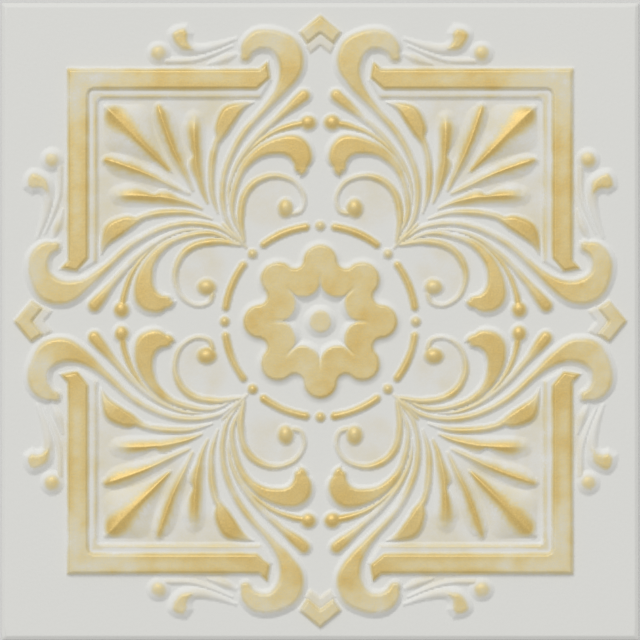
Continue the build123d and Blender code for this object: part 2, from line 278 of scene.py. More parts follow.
    def at(self, field, points):
        """Values of a field at any points, worked out between those of the grid."""
        place = (np.asarray(points) + MAP_MARGIN) / MAP_STEP
        corner = np.clip(place.astype(int), 0, len(self.axis) - 2)
        right, up = (place - corner).T
        column, row = corner.T
        lower = field[row, column] * (1 - right) + field[row, column + 1] * right
        upper = field[row + 1, column] * (1 - right) + field[row + 1, column + 1] * right
        return lower * (1 - up) + upper * up


def divided(line, step):
    """A line through corners, with points between them about a step apart."""
    result = []
    for start, end in zip(line, line[1:]):
        count = max(1, round(float(np.hypot(*(end - start))) / step))
        result.append(start + (end - start) * np.arange(count)[:, None] / count)
    return np.vstack(result + [line[-1:]])


def inset_outline(corners, inset):
    """Closed outline drawn in from a straight-sided one by an even distance."""
    runs = np.roll(corners, -1, axis=0) - corners
    after = np.roll(runs, -1, axis=0)
    turned = np.sign(np.sum(runs[:, 0] * after[:, 1] - runs[:, 1] * after[:, 0]))
    normals = turned * np.stack([-runs[:, 1], runs[:, 0]], 1) / np.hypot(*runs.T)[:, None]
    before = np.roll(normals, 1, axis=0)
    move = (before + normals) / (1 + np.sum(before * normals, axis=1))[:, None]
    drawn = corners + inset * move
    return np.vstack([drawn, drawn[:1]])


def softened(field, spread):
    """Field blurred by a bell curve of a spread in millimetres."""
    reach = int(np.ceil(BELL_REACH * spread / MAP_STEP))
    weights = np.exp(-0.5 * (np.arange(-reach, reach + 1) * MAP_STEP / spread) ** 2)
    weights /= weights.sum()
    for axis in (0, 1):
        pad = [(reach, reach) if axis == i else (0, 0) for i in (0, 1)]
        wide = np.pad(field, pad, mode="edge")
        size = field.shape[axis]
        parts = [np.take(wide, range(i, i + size), axis=axis) for i in range(len(weights))]
        field = sum(weight * part for weight, part in zip(weights, parts))
    return field


# Rosette: arcs of the gold edge, what the foot adds to them, and the star's arcs at its
# mouth and its floor. A crease runs out of the star along the middle of each lobe.
ROSETTE_REACH, ROSETTE_HEIGHT = 66.0, 5.0
LOBE_CENTRE, LOBE_RADIUS = 47.0, 12.2
VALLEY_CENTRE, VALLEY_RADIUS = 52.2, 7.8
ROSETTE_SLOPE, ROSETTE_LEAN = 5.3, 0.35
ROSETTE_GOLD, BUTTON_GOLD = 0.76, 0.57
LOBE_GOLD_EDGE, STAR_GOLD_EDGE = (-1.6, -0.2), (-0.3, 0.3)
STAR_CENTRE = 36.0
STAR_RADIUS, STAR_FLOOR_RADIUS = 13.8, 18.3
BUTTON_FOOT, BUTTON_TOP, BUTTON_HEIGHT = 13.2, 7.8, 4.6
CREASE_START, CREASE_END = 31.0, 39.0
CREASE_WIDTH, CREASE_DEPTH, CREASE_WEAR = 1.3, 0.7, 0.7
LOBE_POINTS, VALLEY_POINTS, STAR_POINTS = 16, 8, 18


def rosette(relief):
    """Eight gold lobes round a white star-shaped recess and its button."""
    rows, columns, x, y = relief.window((0, 0), (ROSETTE_REACH, ROSETTE_REACH))
    radius = np.hypot(x, y)
    middle = radians(WEDGE_MIDDLE)
    turn = np.abs((np.arctan2(x, y) + middle) % (2 * middle) - middle)
    side, ahead = radius * np.sin(turn), radius * np.cos(turn)
    valley = np.array(polar(VALLEY_CENTRE, WEDGE_MIDDLE))
    from_lobe = np.hypot(side, ahead - LOBE_CENTRE)
    from_valley = np.hypot(side - valley[0], ahead - valley[1])
    beyond = (ahead - LOBE_CENTRE) * valley[0] - side * (valley[1] - LOBE_CENTRE) > 0
    inward = np.where(beyond, LOBE_RADIUS - from_lobe, from_valley - VALLEY_RADIUS)
    share = np.clip(1 + inward / ROSETTE_SLOPE, 0, 1)
    body = ROSETTE_HEIGHT * (ROSETTE_LEAN * share + (1 - ROSETTE_LEAN) * share**3)
    off_tip = middle - turn
    chord = STAR_CENTRE * np.sin(off_tip)
    mouth = STAR_CENTRE * np.cos(off_tip) - np.sqrt(STAR_RADIUS**2 - chord**2)
    floor = STAR_CENTRE * np.cos(off_tip) - np.sqrt(STAR_FLOOR_RADIUS**2 - chord**2)
    recess = np.clip((radius - floor) / (mouth - floor), 0, 1)
    gold = ROSETTE_GOLD * ramp(*LOBE_GOLD_EDGE, inward) * ramp(*STAR_GOLD_EDGE, radius - mouth)
    form = np.minimum(body, ROSETTE_HEIGHT * recess)
    crease = (1 - ramp(CREASE_START, CREASE_END, radius)) * np.clip(1 - side / CREASE_WIDTH, 0, 1)
    form = form - CREASE_DEPTH * crease * (form > CREASE_DEPTH)
    gold = gold * (1 - CREASE_WEAR * crease)
    relief.raise_to(rows, columns, form, gold)
    own = np.zeros_like(relief.height)
    own[rows, columns] = form
    for grow in (0.0, ROSETTE_SLOPE):
        relief.note(rosette_line(grow), own)
    for line_radius in (STAR_RADIUS, STAR_FLOOR_RADIUS):
        relief.note(star_line(line_radius), own)
    relief.knob(0, 0, foot=(BUTTON_FOOT, BUTTON_FOOT), top=(BUTTON_TOP, BUTTON_TOP),
                height=BUTTON_HEIGHT, gold=BUTTON_GOLD, paint=(0.8, 1.0), bulge=0.2)


def rosette_line(grow):
    """Edge of the rosette in one wedge, a distance out from its gold edge."""
    valley = np.array(polar(VALLEY_CENTRE, WEDGE_MIDDLE))
    join = atan2(valley[1] - LOBE_CENTRE, valley[0])
    lobe = np.linspace(np.pi / 2, join, LOBE_POINTS)
    radius = LOBE_RADIUS + grow
    half = np.stack([radius * np.cos(lobe), LOBE_CENTRE + radius * np.sin(lobe)], 1)
    dip = np.linspace(join + np.pi, 1.5 * np.pi - radians(WEDGE_MIDDLE), VALLEY_POINTS)
    radius = VALLEY_RADIUS - grow
    half = np.vstack([half, valley + radius * np.stack([np.cos(dip), np.sin(dip)], 1)])
    return np.vstack([half, mirrored_in_wedge(half)[::-1]])


def star_line(radius):
    """One bulging side of the star, from tip to tip."""
    centre = np.array(polar(STAR_CENTRE, WEDGE_MIDDLE))
    middle = radians(WEDGE_MIDDLE)
    tip = STAR_CENTRE * cos(middle) - sqrt(radius**2 - (STAR_CENTRE * sin(middle)) ** 2)
    start = np.array([0.0, tip]) - centre
    end = np.array(polar(tip, DIAGONAL)) - centre
    first, last = atan2(start[1], start[0]), atan2(end[1], end[0])
    if last < first:
        last += 2 * np.pi
    turn = np.linspace(first, last, STAR_POINTS)
    return centre + radius * np.stack([np.cos(turn), np.sin(turn)], 1)


def mirrored_in_wedge(points):
    """Points mirrored in the middle line of the wedge."""
    return (points[:, ::-1] + points @ np.diag([-1, 1])) / sqrt(2)


RING_RADIUS, RING_HEIGHT = 75.0, 3.4
RING_BAR_START, RING_BAR_END, RING_BAR_STATIONS = 8.7, 36.2, 9


def ring(relief):
    """Gold bars with rounded ends, and a bead between each two."""
    angles = np.linspace(RING_BAR_START, RING_BAR_END, RING_BAR_STATIONS)
    bar = [(*polar(RING_RADIUS, angle), 1.0, 3.9, 0.8, 0.88) for angle in angles]
    relief.strand(RING_HEIGHT, bar, paint=(0.2, 0.55), bulge=0.7)
    for angle in (0.0, DIAGONAL):
        x, y = polar(RING_RADIUS, angle)
        relief.knob(x, y, foot=(4.7, 4.7), top=(0.4, 0.4), height=RING_HEIGHT + 0.2,
                    gold=0.72, paint=(0.1, 0.45), bulge=1.0)


def bracket(relief):
    """L of two gold bars with a ledge inside it."""
    bar = [(199.1, 199.1), (48.4, 199.1), (40.6, 206.0), (39.4, 198.0), (38.2, 190.2),
           (49.4, 180.5), (177.7, 180.5), (179.7, 179.7)]
    relief.table(bar + both_ways(bar), slope=2.5, height=5.0, gold=1.0, paint=(0.25, 0.6))
    ledge = [(183.1, 183.1), (40.2, 192.3), (36.8, 190.2), (46.6, 174.0), (170.2, 174.0),
             (172.9, 172.9)]
    relief.table(ledge + both_ways(ledge), slope=2.0, height=2.4, gold=0.0)


def both_ways(half):
    """The corners that mirror half an outline in the diagonal, from its far end back."""
    return [(y, x) for x, y in half[-2:0:-1]]


def chevron(relief):
    """Gold roof shape at the middle of the side, and its ledge."""
    roof = [(0.0, 241.5), (17.5, 227.0), (10.4, 215.9), (0.0, 224.5)]
    relief.table(roof + both_sides(roof), slope=2.4, height=4.6, gold=0.48, paint=(0.15, 0.5))
    ledge = [(0.0, 227.0), (12.4, 216.7), (8.0, 209.3), (0.0, 215.9)]
    relief.table(ledge + both_sides(ledge), slope=1.6, height=2.2, gold=0.12)


def both_sides(half):
    """The corners that mirror half an outline in the +Y axis, from its far end back."""
    return [(-x, y) for x, y in half[-2:0:-1]]


def on_diagonal(places):
    """Stations on the diagonal, each given by its distance from the middle."""
    return [(*polar(distance, DIAGONAL), *rest) for distance, *rest in places]


# Thin gold all over the spear, under the full gold of its ridge
SPEAR_GOLD = 0.14


def spear(relief):
    """Roof-shaped spear on the diagonal, pointing to the corner, with a gilded ridge."""
    places = [
        (166.0, 0.25, 1.2, 0.3),
        (176.0, 0.62, 4.0, 0.4),
        (186.0, 0.84, 7.6, 0.5),
        (197.0, 0.96, 12.8, 0.5),
        (206.0, 1.00, 19.0, 0.5),
        (212.0, 1.00, 22.6, 0.5),
        (219.0, 1.00, 21.8, 0.5),
        (227.0, 0.98, 13.6, 0.5),
        (234.0, 0.90, 6.6, 0.5),
        (237.0, 0.60, 3.2, 0.4),
    ]
    stations = on_diagonal([(*place, SPEAR_GOLD) for place in places])
    relief.strand(5.2, stations, paint=(0.2, 0.6), bulge=0.15)
    ridge = [(168.0, 0.4, 2.4), (180.0, 1.4, 4.6), (196.0, 2.0, 7.0), (212.0, 2.6, 9.6),
             (220.0, 3.4, 12.0), (226.0, 4.2, 12.0), (229.0, 3.6, 8.6)]
    relief.stroke(on_diagonal(ridge), gold=1.0)


def fan_root(relief):
    """Short shaft on the diagonal that the stems grow from."""
    relief.strand(3.2, on_diagonal([
        (81.0, 0.3, 0.9, 0.4, 0.2),
        (93.0, 0.8, 4.2, 0.5, 0.5),
        (108.0, 0.4, 1.4, 0.4, 0.5),
    ]))


def curl(relief):
    """C-scroll next to the ring, ending in an eye."""
    relief.strand(3.2, [
        (60.0, 63.0, 0.7, 2.0, 0.6, 0.4),
        (62.5, 80.0, 1.0, 3.3, 1.2, 0.7),
        (59.8, 97.5, 1.05, 3.6, 1.2, 0.72),
        (51.0, 109.0, 1.05, 3.6, 1.2, 0.7),
        (36.0, 114.2, 0.9, 3.0, 0.8, 0.55),
        (20.6, 109.6, 0.8, 2.5, 0.6, 0.34),
        (12.8, 98.0, 0.75, 2.4, 0.6, 0.25),
        (14.6, 87.4, 0.75, 2.5, 0.6, 0.28),
        (21.0, 84.6, 0.8, 2.8, 0.6, 0.5),
    ])
    relief.knob(27.0, 89.0, foot=(7.6, 9.0), top=(0.6, 0.7), height=4.4,
                gold=0.82, paint=(0.05, 0.4), bulge=1.0)


def hook(relief):
    """Thick hook above the C-scroll, on a long thin stem."""
    relief.leaf(5.0, [
        (62.0, 67.5, 0.36, 1.4, 0.4, 0.4, 1.4, 0.35),
        (68.8, 84.0, 0.6, 2.7, 0.7, 0.7, 2.7, 0.62),
        (67.6, 101.0, 0.64, 3.2, 0.9, 0.9, 3.2, 0.6),
        (61.0, 119.0, 0.7, 4.0, 1.4, 1.4, 4.0, 0.66),
        (48.4, 131.8, 0.85, 5.8, 2.4, 2.6, 6.2, 0.8),
        (33.6, 136.4, 0.96, 7.4, 3.6, 5.8, 10.6, 0.9),
        (22.6, 133.6, 1.0, 7.4, 3.4, 10.6, 16.6, 0.92),
        (17.4, 127.0, 1.0, 6.6, 2.8, 9.4, 15.2, 0.92),
        (16.4, 120.6, 0.94, 5.4, 2.4, 4.8, 8.2, 0.92),
    ], paint=(0.4, 1.0), bulge=0.45)


def bead_drop(relief):
    """Thin stem that ends in a bead beside the axis."""
    relief.strand(3.2, [
        (64.6, 119.0, 0.5, 1.2, 0.4, 0.35),
        (54.6, 134.6, 0.75, 2.2, 0.5, 0.6),
        (40.0, 146.4, 0.85, 2.8, 0.6, 0.75),
        (25.0, 152.8, 0.9, 3.4, 0.9, 0.9),
        (12.0, 155.6, 1.0, 3.8, 1.2, 1.0),
    ])
    relief.knob(9.4, 156.0, foot=(8.4, 7.8), top=(0.6, 0.6), height=4.4,
                gold=0.96, paint=(0.15, 0.5), bulge=1.0)


def drop(relief):
    """Stem that swells into a long drop between the big scroll and the bead."""
    relief.strand(4.4, [
        (72.2, 92.0, 0.3, 0.9, 0.3, 0.15),
        (70.6, 109.0, 0.5, 1.9, 0.5, 0.45),
        (62.6, 127.4, 0.64, 2.7, 0.7, 0.4),
        (48.0, 146.0, 0.68, 3.2, 0.8, 0.38),
        (31.6, 161.2, 0.78, 3.6, 1.0, 0.54),
        (18.4, 172.2, 0.95, 6.3, 2.0, 0.92),
        (12.8, 177.0, 0.95, 7.2, 2.2, 0.96),
    ], paint=(0.25, 0.8), bulge=0.7)


def big_scroll(relief):
    """Large scroll that rises from the fan and curls over beside the chevron."""
    relief.leaf(5.0, [
        (65.0, 67.5, 0.4, 1.4, 0.4, 0.4, 1.4, 0.35),
        (73.4, 80.0, 0.58, 2.6, 0.7, 0.7, 2.6, 0.5),
        (76.8, 101.0, 0.64, 3.2, 0.9, 0.9, 3.2, 0.62),
        (73.0, 123.0, 0.64, 3.6, 1.0, 1.0, 3.6, 0.58),
        (60.6, 147.0, 0.66, 4.0, 1.0, 1.0, 4.0, 0.57),
        (41.0, 169.2, 0.74, 4.8, 1.2, 1.2, 4.8, 0.66),
        (29.0, 184.6, 0.9, 8.4, 3.2, 3.2, 7.6, 0.82),
        (24.4, 198.6, 1.0, 14.2, 8.6, 5.2, 10.4, 0.82),
        (28.2, 209.6, 1.0, 17.4, 11.6, 4.6, 10.0, 0.66),
        (37.2, 216.4, 1.0, 15.8, 9.8, 2.8, 7.6, 0.58),
        (47.4, 217.0, 1.0, 15.2, 9.4, 2.4, 6.8, 0.58),
        (54.8, 212.8, 0.95, 11.8, 6.8, 1.8, 6.0, 0.64),
        (58.2, 208.0, 0.85, 6.4, 2.8, 2.0, 5.8, 0.72),
    ], paint=(0.4, 1.0), bulge=0.45)


def fan_leaves(relief):
    """The half-moon leaf and the two ribbed leaves of the fan."""
    relief.leaf(4.6, [
        (80.4, 85.0, 0.3, 1.0, 0.3, 0.3, 1.0, 0.2),
        (85.2, 103.0, 0.6, 3.0, 0.8, 0.8, 2.8, 0.6),
        (85.0, 124.0, 0.74, 3.8, 1.0, 1.0, 3.6, 0.62),
        (82.2, 138.0, 0.78, 3.6, 1.0, 1.0, 3.6, 0.62),
        (79.8, 144.0, 0.88, 4.8, 1.8, 1.0, 3.6, 0.75),
        (76.8, 150.2, 0.96, 6.4, 3.2, 4.6, 8.6, 0.92),
        (69.0, 160.8, 1.0, 5.6, 2.6, 7.2, 11.6, 0.92),
        (61.0, 167.8, 0.8, 2.8, 0.8, 2.8, 5.6, 0.65),
        (52.0, 172.0, 0.25, 0.6, 0.2, 0.2, 0.6, 0.0),
    ])
    relief.leaf(4.7, [
        (88.4, 93.0, 0.3, 1.4, 0.3, 0.3, 1.4, 0.5),
        (92.4, 102.0, 0.56, 3.8, 0.4, 0.4, 2.4, 0.76),
        (95.2, 112.0, 0.76, 6.8, 0.5, 0.5, 4.0, 0.82),
        (96.9, 121.0, 0.88, 7.6, 0.5, 0.5, 8.0, 0.88),
        (97.6, 126.0, 0.92, 8.0, 0.5, 0.5, 7.0, 0.92),
        (98.0, 130.6, 0.95, 8.4, 0.5, 0.5, 2.4, 0.95),
        (98.4, 137.0, 0.98, 8.8, 0.5, 0.5, 5.4, 0.98),
        (98.6, 144.0, 1.0, 9.0, 0.5, 0.5, 8.4, 1.0),
        (98.6, 152.0, 0.92, 9.0, 0.5, 0.5, 10.4, 0.8),
        (98.4, 158.0, 0.6, 7.6, 0.4, 0.4, 8.6, 0.3),
    ], paint=(0.18, 0.82), bulge=0.15)
    relief.leaf(4.7, [
        (100.4, 103.0, 0.3, 2.2, 0.3, 0.3, 1.8, 0.35),
        (107.6, 119.0, 0.76, 5.0, 0.5, 0.5, 4.2, 0.62),
        (113.0, 130.0, 0.92, 6.6, 0.5, 0.5, 5.4, 0.88),
        (118.4, 143.0, 1.0, 8.8, 0.5, 0.5, 6.4, 1.02),
        (123.0, 156.0, 1.0, 10.2, 0.5, 0.5, 7.4, 1.0),
        (125.6, 164.0, 0.94, 8.2, 0.5, 0.5, 6.8, 0.95),
        (126.6, 167.4, 0.7, 5.0, 0.4, 0.4, 4.4, 0.9),
    ], paint=(0.3, 0.95), bulge=0.15)


def crown(relief):
    """Small crest outside the bracket: a hooked leaf, a bead on a stem and a bud."""
    relief.strand(4.4, [
        (66.0, 222.0, 0.25, 1.4, 0.3, 0.0),
        (80.0, 216.6, 0.5, 3.4, 0.7, 0.05),
        (94.0, 213.4, 0.68, 4.8, 1.2, 0.1),
        (106.0, 214.4, 0.76, 5.4, 1.6, 0.2),
    ])
    relief.table(rounded([
        (97.0, 232.0), (105.0, 233.8), (113.0, 233.0), (119.0, 229.0), (120.5, 224.0),
        (118.0, 217.0), (113.0, 211.0), (107.0, 208.5), (98.0, 208.5), (91.0, 211.5),
        (98.0, 218.5), (100.0, 221.5), (98.8, 226.5),
    ]), slope=6.2, height=4.4, gold=0.72, paint=(0.55, 1.0), bulge=0.4)
    relief.strand(4.4, [
        (69.0, 216.2, 0.22, 1.2, 0.3, 0.0),
        (84.6, 209.6, 0.42, 2.2, 0.5, 0.05),
        (101.0, 204.7, 0.46, 2.4, 0.6, 0.1),
        (121.0, 204.2, 0.54, 2.8, 0.9, 0.15),
    ])
    relief.strand(4.4, [
        (66.4, 209.6, 0.25, 2.0, 0.4, 0.0),
        (75.0, 205.8, 0.54, 3.8, 0.8, 0.2),
        (88.0, 202.0, 0.22, 1.0, 0.3, 0.0),
    ])
    relief.knob(126.8, 210.4, foot=(9.8, 9.6), top=(0.8, 0.8), height=4.4,
                gold=0.62, paint=(0.25, 0.75), bulge=1.0)


# Where the gold is brushed thin, along and across the bars of the bracket, and where a
# haze of it lies on the ground and the lower forms: x, y, radius and strength of each patch
BAR_PLACES, BAR_LOWEST, BAR_START = (180.0, 201.0), 3.0, 34.0
BAR_GOLD = 0.9
BAR_OUTER, BAR_OUTER_WEAR = (185.0, 190.0), 0.17
BAR_RUN, BAR_CORNER, BAR_CORNER_WEAR = (50.0, 75.0), (120.0, 180.0), 0.42
BAR_RIM, BAR_RIM_GOLD = (193.6, 195.6), 0.22
BAR_EDGE, BAR_EDGE_START = (196.5, 198.3), 46.0
LEDGE_LINE_PLACE, LEDGE_LINE_WIDTH, LEDGE_LINE_GOLD = 176.5, 3.6, 0.56
LEDGE_LINE_RUN = (44.0, 50.0)
HAZE = [(138.0, 138.0, 46.0, 0.16), (40.0, 96.0, 26.0, 0.1), (90.0, 178.5, 34.0, 0.14)]
HAZE_CORE, HAZE_HIGHEST = 0.6, 4.6


def thin_paint(relief):
    """Worn gold on the bars of the bracket, a line of it on the ledge, and the haze."""
    x, y = relief.axis[None, :], relief.axis[:, None]
    across, along = np.maximum(x, y), np.minimum(x, y)
    outer = BAR_OUTER_WEAR * ramp(*BAR_OUTER, across) * ramp(*BAR_RUN, along)
    rim = BAR_RIM_GOLD * ramp(*BAR_RIM, across) * ramp(*BAR_RUN, along)
    corner = BAR_CORNER_WEAR * ramp(*BAR_CORNER, along)
    on_bar = (across > BAR_PLACES[0]) & (across < BAR_PLACES[1]) & (along > BAR_START)
    on_bar = on_bar & (relief.height > BAR_LOWEST)
    bare_edge = 1 - ramp(*BAR_EDGE, across) * (along > BAR_EDGE_START)
    bar_gold = relief.gold * bare_edge * np.clip(BAR_GOLD - outer - corner + rim, 0, 1)
    relief.gold = np.where(on_bar, bar_gold, relief.gold)
    half_line = LEDGE_LINE_WIDTH / 2
    line = ramp(0, half_line, half_line - np.abs(across - LEDGE_LINE_PLACE))
    line = line * ramp(*LEDGE_LINE_RUN, along)
    relief.gold = np.maximum(relief.gold, LEDGE_LINE_GOLD * line)
    for spot_x, spot_y, radius, strength in HAZE:
        for place in ((spot_x, spot_y), (spot_y, spot_x)):
            away = np.hypot(x - place[0], y - place[1])
            haze = strength * (1 - ramp(HAZE_CORE * radius, radius, away))
            relief.gold = np.maximum(relief.gold, haze * (relief.height < HAZE_HIGHEST))


def ornament():
    """The whole relief of one quarter of the tile."""
    relief = ReliefMap()
    for motif in (rosette, ring, bracket, chevron, spear, fan_root, curl, hook, bead_drop,
                  drop, big_scroll, fan_leaves, crown):
        motif(relief)
    thin_paint(relief)
    relief.finish()
    return relief


# Mesh
# Millimetres too. Points lie on the lines that the relief notes and, between them, on
# square grids that are finer where the relief bends more.
FINEST_GAP, WIDEST_GAP = 1.5, 40.0
GRID_LEVELS = 4
BEND_TOLERANCE = 0.05
SPACING_GROWTH, SPACING_REACH = 0.5, 12.0

# How near another point may be to one on a corner, on a side, on a noted line and, as a
# share of the grid's own gap, to one on a grid
CORNER_GAP, SIDE_GAP, LINE_GAP, GRID_GAP = 0.3, 0.4, 0.65, 0.62

# Steps along the sides of the wedge, and how close to the far corner the last one ends
SHORTEST_STEP, LONGEST_STEP, LAST_STEP = 1.3, 12.0, 1.0
BEVEL_POINTS = 25

# A noted line is used where its own form is the one that shows, and clear of the wedge's
# axis, diagonal and bevel
LONGEST_LINE_EDGE = 3.2
SHOWS_WITHIN = 0.08
LINE_OFF_AXIS, LINE_OFF_DIAGONAL, LINE_OFF_BEVEL = 0.4, 0.6, 0.5

# The same for the grids, as shares of their gap, and the spacing up to which each is used
GRID_OFF_AXIS, GRID_OFF_DIAGONAL, GRID_OFF_EDGE = 0.5, 0.7, 0.8
GRID_SPACING = 1.6

# Cells that keep points apart, and how near each other two points count as one
CELLS_PER_MM, CELL_MARGIN = 4, 2.0
KEYS_PER_MM = 1000
SAME_PLACE = 1 / KEYS_PER_MM
MEETING_TOLERANCE = 1e-4

# Shares of the square image that each part of the surface takes when its looks are baked
MAP_EDGE, TOP_SHARE = 0.01, 0.86
SIDES_START, SIDE_ROW = 0.89, 0.02
BACK_CORNER, BACK_SHARE = np.array([0.885, 0.01]), 0.1


def spacing_map(relief):
    """How far apart mesh points may lie, from how sharply the relief bends there."""
    bend_y, across = np.gradient(relief.slope_y, MAP_STEP)
    bend_x = np.gradient(relief.slope_x, MAP_STEP, axis=1)
    bend = np.sqrt(bend_x**2 + bend_y**2 + 2 * across**2) + TINY
    spacing = np.clip(np.sqrt(8 * BEND_TOLERANCE / bend), FINEST_GAP, WIDEST_GAP)
    growth = SPACING_GROWTH * MAP_STEP
    for _ in range(round(SPACING_REACH / MAP_STEP)):
        for axis in (0, 1):
            for step in (-1, 1):
                spacing = np.minimum(spacing, np.roll(spacing, step, axis) + growth)
    return spacing


class WedgePoints:
    """Points of one wedge, kept apart, and the edges that must join some of them."""

    def __init__(self):
        self.points, self.edges = [], []
        size = round((HALF_SIDE + CELL_MARGIN) * CELLS_PER_MM)
        self.taken = np.zeros((size, size), bool)

    def add(self, x, y, gap):
        """Index of a new point, or None where another one is nearer than the gap."""
        column, row = round(x * CELLS_PER_MM), round(y * CELLS_PER_MM)
        if self.taken[row, column]:
            return None
        reach = int(gap * CELLS_PER_MM)
        for step in range(-reach, reach + 1):
            width = int(sqrt(reach * reach - step * step))
            if row + step >= 0:
                self.taken[row + step, max(0, column - width) : column + width + 1] = True
        self.points.append((x, y))
        return len(self.points) - 1

    def add_line(self, line, gap, longest_edge=LONGEST_LINE_EDGE):
        """Points along a line, joined by edges that aren't longer than the longest."""
        before = None
        for x, y in line:
            here = self.add(x, y, gap)
            if here is not None and before is not None:
                if hypot(x - self.points[before][0], y - self.points[before][1]) < longest_edge:
                    self.edges.append((before, here))
            before = here if here is not None else before


def side_places(relief, spacing, start, end):
    """Places along a side of the wedge, between its corners, as far apart as they may lie."""
    run = end - start
    length = float(np.hypot(*run))
    places, gone = [], 0.0
    while True:
        here = start + run * gone / length
        gone += float(np.clip(relief.at(spacing, [here])[0], SHORTEST_STEP, LONGEST_STEP))
        if gone > length - LAST_STEP:
            return places
        places.append(start + run * gone / length)


def add_sides(made, relief, spacing):
    """The outline of the wedge, and the line where its bevel starts."""
    corners = np.array([(0.0, 0.0), (0.0, HALF_SIDE), (HALF_SIDE, HALF_SIDE)])
    ends = [made.add(x, y, CORNER_GAP) for x, y in corners.tolist()]
    for start, end in ((0, 1), (0, 2), (1, 2)):
        places = side_places(relief, spacing, corners[start], corners[end])
        between = [made.add(x, y, SIDE_GAP) for x, y in places]
        side = [ends[start], *[index for index in between if index is not None], ends[end]]
        made.edges += list(zip(side, side[1:]))
    inner = HALF_SIDE - BEVEL_WIDTH
    bevel = [(x, inner) for x in np.linspace(0.0, inner, BEVEL_POINTS)]
    made.add_line(bevel, SIDE_GAP, LONGEST_STEP)


def add_noted_lines(made, relief):
    """The parts of the noted lines that show."""
    highest = HALF_SIDE - BEVEL_WIDTH - LINE_OFF_BEVEL
    for line, own in relief.lines:
        x, y = line.T
        shows = np.abs(relief.at(relief.sharp, line) - own) < SHOWS_WITHIN
        inside = (x > LINE_OFF_AXIS) & (y - x > LINE_OFF_DIAGONAL) & (y < highest)
        used = shows & inside
        for piece in np.split(np.arange(len(line)), np.flatnonzero(~used)):
            made.add_line(line[piece[used[piece]]], LINE_GAP)


def add_grids(made, relief, spacing):
    """Grids from the finest to the coarsest, the last of them over the whole wedge."""
    for level in range(GRID_LEVELS):
        gap = FINEST_GAP * 2**level
        ticks = np.arange(0.0, HALF_SIDE, gap)
        x, y = (grid.ravel() for grid in np.meshgrid(ticks, ticks))
        inside = (x > GRID_OFF_AXIS * gap) & (y - x > GRID_OFF_DIAGONAL * gap)
        inside = inside & (y < HALF_SIDE - GRID_OFF_EDGE * gap)
        grid_points = np.stack([x[inside], y[inside]], 1)
        wanted = relief.at(spacing, grid_points) < gap * GRID_SPACING
        if level == GRID_LEVELS - 1:
            wanted[:] = True
        for x, y in grid_points[wanted]:
            made.add(float(x), float(y), GRID_GAP * gap)


def wedge_mesh(relief):
    """Triangles of one wedge, as points in the plane and corners of each triangle."""
    spacing = spacing_map(relief)
    made = WedgePoints()
    add_sides(made, relief, spacing)
    add_noted_lines(made, relief)
    add_grids(made, relief, spacing)
    flat = [Vector(point) for point in made.points]
    points, _, faces, *_ = delaunay_2d_cdt(flat, made.edges, [], 0, MEETING_TOLERANCE)
    points = np.array([tuple(point) for point in points])
    points[np.abs(points[:, 0]) < SAME_PLACE, 0] = 0.0
    joins_mirrored = np.abs(points[:, 0] - points[:, 1]) < SAME_PLACE
    points[joins_mirrored, 0] = points[joins_mirrored, 1]
    return points, np.array(faces)


def eight_wedges(points, faces, *fields):
    """The wedge set round the middle, with its shared points merged."""
    places, triangles, columns = [], [], [[] for _ in fields]
    for quarter in range(4):
        turn = np.array([[cos(quarter * np.pi / 2), -sin(quarter * np.pi / 2)],
                         [sin(quarter * np.pi / 2), cos(quarter * np.pi / 2)]]).round()
        for flip in (1, -1):
            move = turn @ np.diag([flip, 1])
            triangles.append((faces if flip == 1 else faces[:, ::-1]) + len(points) * len(places))
            places.append(points @ move.T)
            for column, field in zip(columns, fields):
                column.append(field @ move.T if field.ndim == 2 else field)
    places, triangles = np.vstack(places), np.vstack(triangles)
    key = (places * KEYS_PER_MM).round().astype(int)
    _, first, merged = np.unique(key, axis=0, return_index=True, return_inverse=True)
    triangles = merged.ravel()[triangles]
    good = (triangles != np.roll(triangles, 1, axis=1)).all(axis=1)
    fields = [np.concatenate(column)[first] for column in columns]
    return places[first], triangles[good], fields


def tile_mesh(relief):
    """Closed mesh of the tile: the relief on top, four straight sides and a flat back."""
    points, faces = wedge_mesh(relief)
    slopes = -np.stack([relief.at(relief.slope_x, points), relief.at(relief.slope_y, points)], 1)
    fields = [relief.at(field, points) for field in (relief.level, relief.gold, relief.steep)]
    places, triangles, fields = eight_wedges(points, faces, slopes, *fields)
    slopes, level, gold, steep = fields
    rim = np.flatnonzero(np.abs(places).max(axis=1) > HALF_SIDE - SAME_PLACE)
    rim = rim[np.argsort(np.arctan2(places[rim, 1], places[rim, 0]))]
    level[rim] = GROUND - BEVEL_DEPTH
    count = len(places)
    top = np.column_stack([places, level])
    back = np.column_stack([places[rim], np.zeros(len(rim))])
    below = count + np.arange(len(rim))
    polygons = [tuple(triangle) for triangle in triangles.tolist()]
    for index in range(len(rim)):
        after = (index + 1) % len(rim)
        polygons.append((rim[index], below[index], below[after], rim[after]))
    polygons.append(tuple(below[::-1]))
    mesh = bpy.data.meshes.new("tile_foam")
    mesh.from_pydata((np.vstack([top, back]) * MM).tolist(), [], polygons)
    mesh.validate()
    mesh.polygons.foreach_set("use_smooth", [True] * len(mesh.polygons))
    normals = np.column_stack([slopes, np.ones(count)])
    normals /= np.linalg.norm(normals, axis=1)[:, None]
    set_normals(mesh, normals)
    # The steepness carries painted light: the material makes steep slopes lighter with it
    for name, values in (("gold", gold), ("steep", steep)):
        layer = mesh.attributes.new(name, "FLOAT", "POINT")
        layer.data.foreach_set("value", np.concatenate([values, np.zeros(len(rim))]))
    lay_out(mesh, len(triangles), len(rim))
    return mesh


